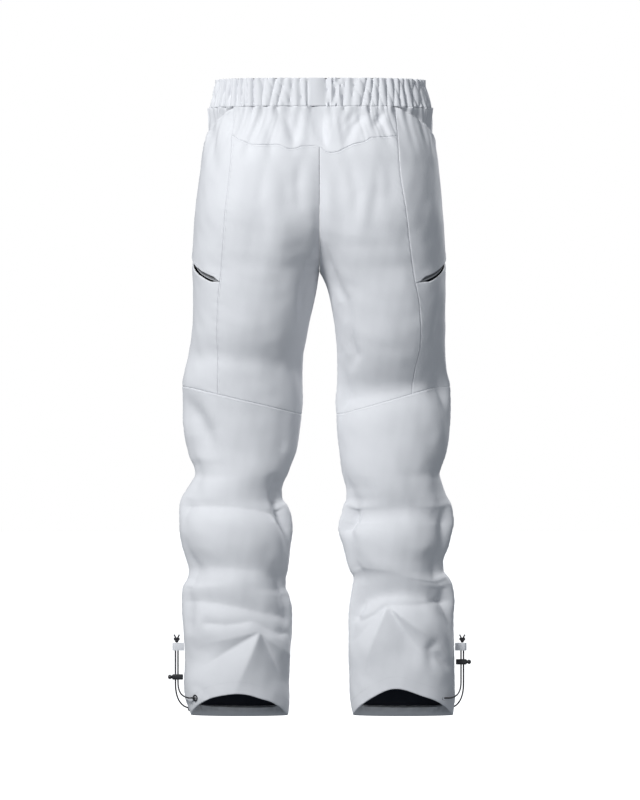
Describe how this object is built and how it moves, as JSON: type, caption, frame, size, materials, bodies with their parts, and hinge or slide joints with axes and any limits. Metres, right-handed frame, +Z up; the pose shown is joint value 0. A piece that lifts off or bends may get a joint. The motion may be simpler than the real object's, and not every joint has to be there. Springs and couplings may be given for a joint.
{
  "type": "ski pants",
  "caption": "Softshell ski pants with elastic waistband, V back yoke, side panels, zipped thigh pockets and hem drawcords with sliding cord locks at the ankles.",
  "frame": {"origin": "centre of the waist opening, level with the top of the waistband", "axes": "+Z up along the standing wearer, +Y towards the wearer's front, +X towards the wearer's right leg; the legs hang down to about z = -1.01 m"},
  "size_m": [0.48, 0.2039, 1.01],
  "materials": {
    "shell": "matt bonded softshell, pale blue-grey",
    "lining": "brushed black fleece",
    "pocket_cloth": "dark tricot",
    "elastic": "woven elastic",
    "zip_tape": "woven tape with nylon coil",
    "black_plastic": "moulded black acetal",
    "cord": "braided black elastic cord",
    "spring_steel": "drawn wire",
    "snap_metal": "gunmetal plate"
  },
  "bodies": {
    "garment": {"back_yoke": "shell", "left_seat_panel": "shell", "right_seat_panel": "shell", "left_side_panel": "shell", "right_side_panel": "shell", "left_front_panel": "shell", "right_front_panel": "shell", "left_calf_panel": "shell", "right_calf_panel": "shell", "left_shin_panel": "shell", "right_shin_panel": "shell", "left_hem_facing": "shell", "right_hem_facing": "shell", "left_hip_facing": "shell", "right_hip_facing": "shell", "left_hand_pocket_bag": "pocket_cloth", "right_hand_pocket_bag": "pocket_cloth", "left_thigh_pocket_bag": "pocket_cloth", "right_thigh_pocket_bag": "pocket_cloth", "left_thigh_zip_upper_tape": "zip_tape", "left_thigh_zip_lower_tape": "zip_tape", "right_thigh_zip_upper_tape": "zip_tape", "right_thigh_zip_lower_tape": "zip_tape", "fly_zip_left_tape": "zip_tape", "fly_zip_right_tape": "zip_tape", "fly_shield": "lining", "waistband_outer": "shell", "waistband_elastic": "elastic", "waistband_lining": "lining", "snap_stud": "snap_metal", "snap_post": "snap_metal", "left_back_eyelet": "black_plastic", "left_front_eyelet": "black_plastic", "right_back_eyelet": "black_plastic", "right_front_eyelet": "black_plastic", "left_hem_cord": "cord", "right_hem_cord": "cord", "left_cord_knot": "cord", "right_cord_knot": "cord", "left_cord_tab": "shell", "right_cord_tab": "shell"},
    "waist_tab": {"waist_tab": "shell", "snap_cap": "snap_metal", "snap_socket": "snap_metal"},
    "fly_slider": {"fly_zip_slider": "black_plastic"},
    "fly_pull": {"fly_zip_pull": "black_plastic"},
    "left_thigh_slider": {"left_thigh_zip_slider": "black_plastic"},
    "left_thigh_pull": {"left_thigh_zip_pull": "black_plastic"},
    "right_thigh_slider": {"right_thigh_zip_slider": "black_plastic"},
    "right_thigh_pull": {"right_thigh_zip_pull": "black_plastic"},
    "left_cord_lock": {"left_cord_lock_body": "black_plastic", "left_cord_lock_spring": "spring_steel"},
    "left_plunger": {"left_cord_lock_plunger": "black_plastic"},
    "right_cord_lock": {"right_cord_lock_body": "black_plastic", "right_cord_lock_spring": "spring_steel"},
    "right_plunger": {"right_cord_lock_plunger": "black_plastic"}
  },
  "joints": [
    {"name": "waist_tab_fold", "type": "hinge", "parent": "garment", "child": "waist_tab", "pos_m": [-0.036, 0.0752, -0.0225], "axis": [0, 0, 1], "range_deg": [0, 95]},
    {"name": "fly_zip_slide", "type": "slide", "parent": "garment", "child": "fly_slider", "axis": [0, 0.0902, -0.9959], "range_m": [0, 0.1]},
    {"name": "fly_pull_swing", "type": "hinge", "parent": "fly_slider", "child": "fly_pull", "pos_m": [0, 0.07381, -0.0621], "axis": [1, 0, 0], "range_deg": [0, 170]},
    {"name": "left_thigh_zip_run", "type": "hinge", "parent": "garment", "child": "left_thigh_slider", "pos_m": [-0.1, 0, -0.287], "axis": [0, -0.4004, 0.9164], "range_deg": [0, 70]},
    {"name": "left_thigh_pull_swing", "type": "hinge", "parent": "left_thigh_slider", "child": "left_thigh_pull", "pos_m": [-0.1829, 0.04933, -0.26545], "axis": [0, 0.4004, -0.9164], "range_deg": [0, 170]},
    {"name": "right_thigh_zip_run", "type": "hinge", "parent": "garment", "child": "right_thigh_slider", "pos_m": [0.1, 0, -0.287], "axis": [0, 0.4004, -0.9164], "range_deg": [0, 70]},
    {"name": "right_thigh_pull_swing", "type": "hinge", "parent": "right_thigh_slider", "child": "right_thigh_pull", "pos_m": [0.1829, 0.04933, -0.26545], "axis": [0, -0.4004, 0.9164], "range_deg": [0, 170]},
    {"name": "left_lock_slide", "type": "slide", "parent": "garment", "child": "left_cord_lock", "axis": [0, 0, 1], "range_m": [-0.001, 0.036]},
    {"name": "left_lock_press", "type": "slide", "parent": "left_cord_lock", "child": "left_plunger", "axis": [1, 0, 0], "range_m": [0, 0.002], "stiffness_N_per_m": 400},
    {"name": "right_lock_slide", "type": "slide", "parent": "garment", "child": "right_cord_lock", "axis": [0, 0, 1], "range_m": [-0.024, 0.012]},
    {"name": "right_lock_press", "type": "slide", "parent": "right_cord_lock", "child": "right_plunger", "axis": [-1, 0, 0], "range_m": [0, 0.002], "stiffness_N_per_m": 400}
  ]
}
